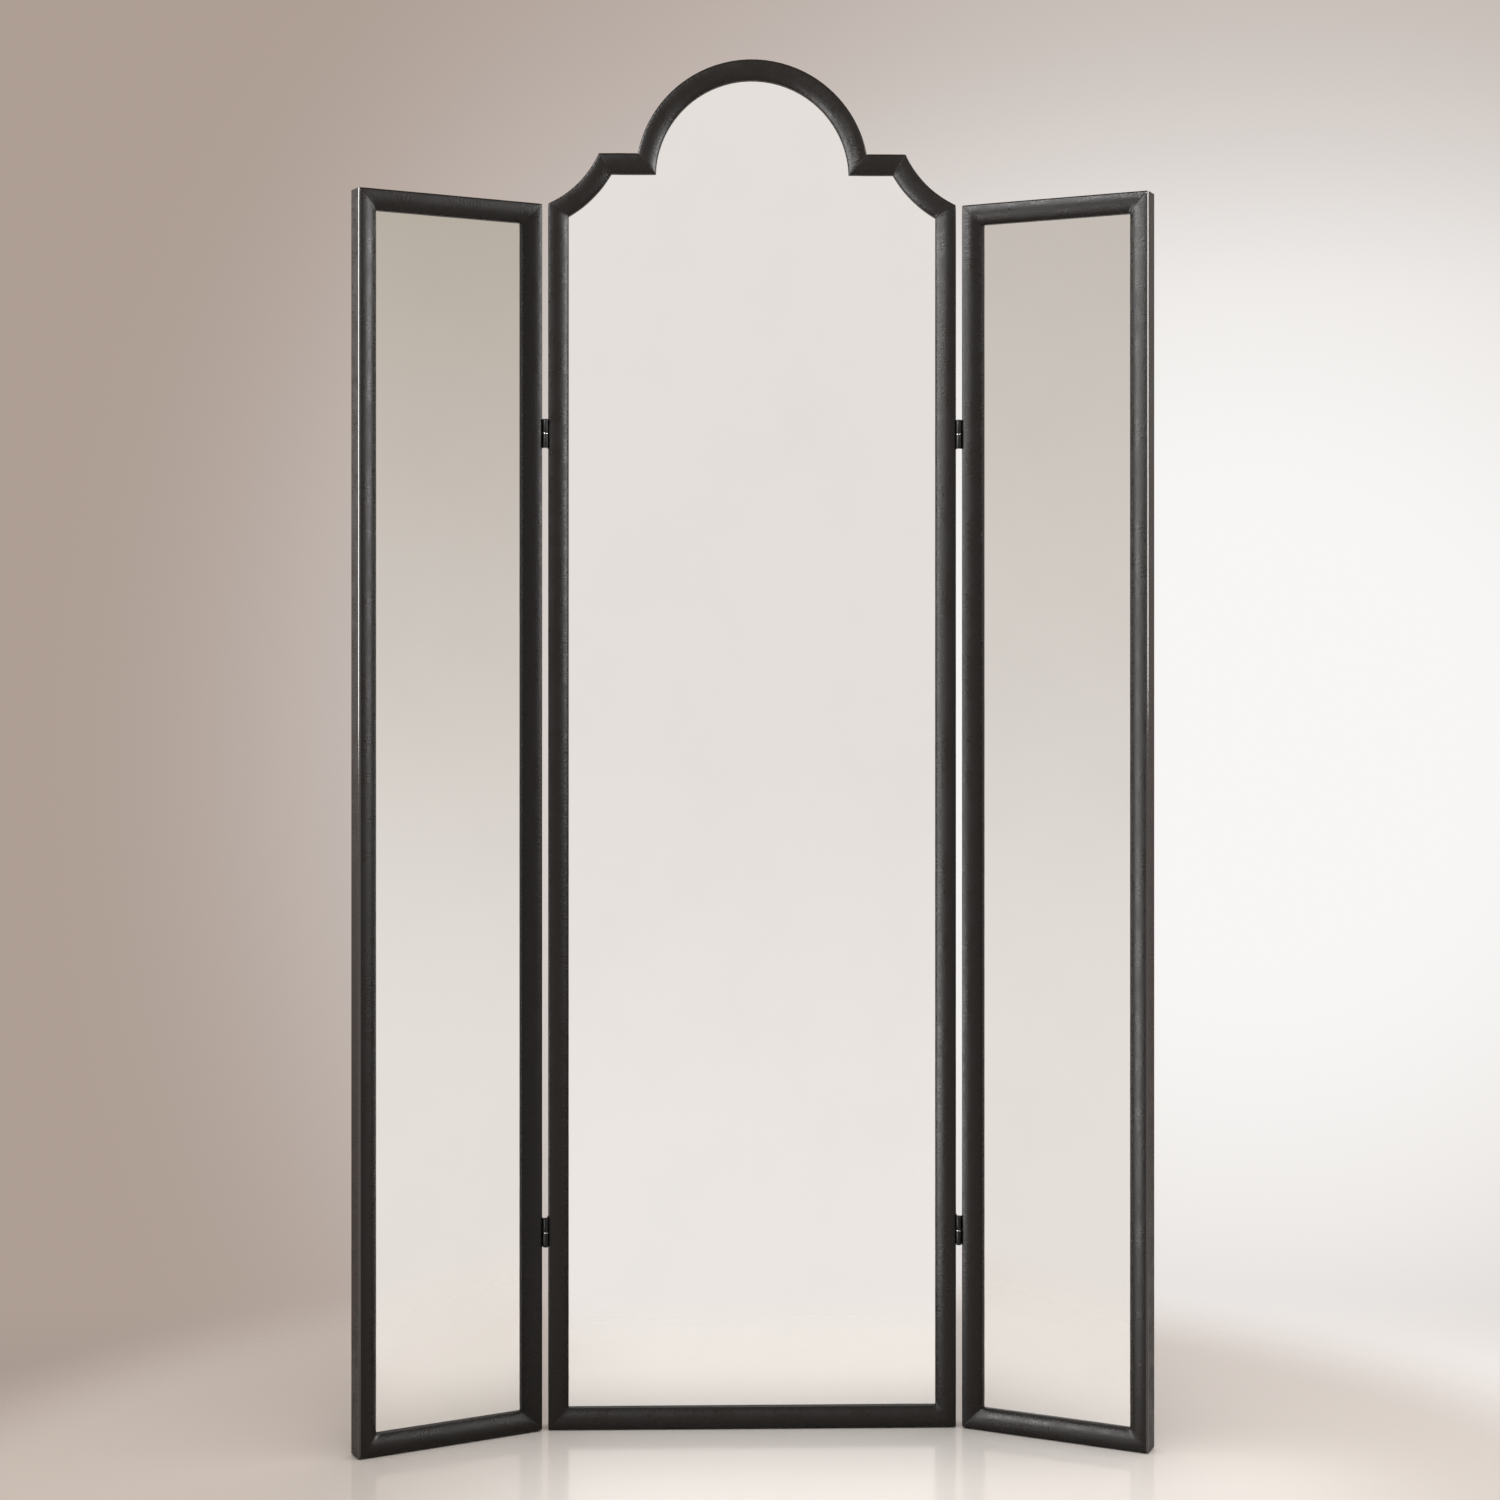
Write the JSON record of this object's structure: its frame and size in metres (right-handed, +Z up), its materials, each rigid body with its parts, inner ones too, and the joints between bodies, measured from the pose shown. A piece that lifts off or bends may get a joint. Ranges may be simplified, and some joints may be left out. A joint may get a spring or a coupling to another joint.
{
  "type": "mirrored room divider",
  "caption": "Free-standing folding dressing mirror and room divider: a tall arched centre panel with hinged side wings, black leather-wrapped mitred frames and mirror glass.",
  "frame": {"origin": "middle of the centre panel's width and thickness, at floor level, on the underside of its middle glide", "axes": "+Z up, +X to the viewer's right when facing the mirrors, +Y to the back; the mirrors face -Y"},
  "size_m": [1.083, 0.154, 1.9],
  "materials": {
    "timber": "planed",
    "leather": "smooth black satin",
    "mirror": "silvered glass",
    "foam": "closed-cell foam",
    "back_board": "painted hardboard",
    "screw": "black oxide",
    "biscuit": "pressed beech",
    "glide": "nylon",
    "hinge": "black",
    "pin": "turned steel",
    "washer": "bright steel"
  },
  "bodies": {
    "centre_panel": {"centre_left_stile": "timber", "centre_right_stile": "timber", "centre_bottom_rail": "timber", "left_cove": "timber", "right_cove": "timber", "left_shoulder": "timber", "right_shoulder": "timber", "arch": "timber", "centre_left_stile_leather": "leather", "centre_right_stile_leather": "leather", "centre_bottom_rail_leather": "leather", "left_cove_leather": "leather", "right_cove_leather": "leather", "left_shoulder_leather": "leather", "right_shoulder_leather": "leather", "arch_leather": "leather", "centre_mirror": "mirror", "centre_foam_strip": "foam", "centre_back_board": "back_board", "centre_board_screws": "screw", "centre_biscuits": "biscuit", "centre_glides": "glide", "left_pin_leaves": "hinge", "right_pin_leaves": "hinge", "hinge_pins": "pin", "hinge_washers": "washer", "centre_hinge_screws": "screw"},
    "left_wing": {"left_wing_hinge_stile": "timber", "left_wing_outer_stile": "timber", "left_wing_top_rail": "timber", "left_wing_bottom_rail": "timber", "left_wing_hinge_stile_leather": "leather", "left_wing_outer_stile_leather": "leather", "left_wing_top_rail_leather": "leather", "left_wing_bottom_rail_leather": "leather", "left_wing_mirror": "mirror", "left_wing_foam_strip": "foam", "left_wing_back_board": "back_board", "left_wing_board_screws": "screw", "left_wing_biscuits": "biscuit", "left_wing_glides": "glide", "left_wing_hinge_leaves": "hinge", "left_wing_hinge_screws": "screw"},
    "right_wing": {"right_wing_hinge_stile": "timber", "right_wing_outer_stile": "timber", "right_wing_top_rail": "timber", "right_wing_bottom_rail": "timber", "right_wing_hinge_stile_leather": "leather", "right_wing_outer_stile_leather": "leather", "right_wing_top_rail_leather": "leather", "right_wing_bottom_rail_leather": "leather", "right_wing_mirror": "mirror", "right_wing_foam_strip": "foam", "right_wing_back_board": "back_board", "right_wing_board_screws": "screw", "right_wing_biscuits": "biscuit", "right_wing_glides": "glide", "right_wing_hinge_leaves": "hinge", "right_wing_hinge_screws": "screw"}
  },
  "joints": [
    {"name": "left_wing_fold", "type": "hinge", "parent": "centre_panel", "child": "left_wing", "pos_m": [-0.2863, -0.0175, 0.8275], "axis": [0, 0, 1], "range_deg": [-37, 153]},
    {"name": "right_wing_fold", "type": "hinge", "parent": "centre_panel", "child": "right_wing", "pos_m": [0.2863, -0.0175, 0.8275], "axis": [0, 0, -1], "range_deg": [-37, 153]}
  ]
}
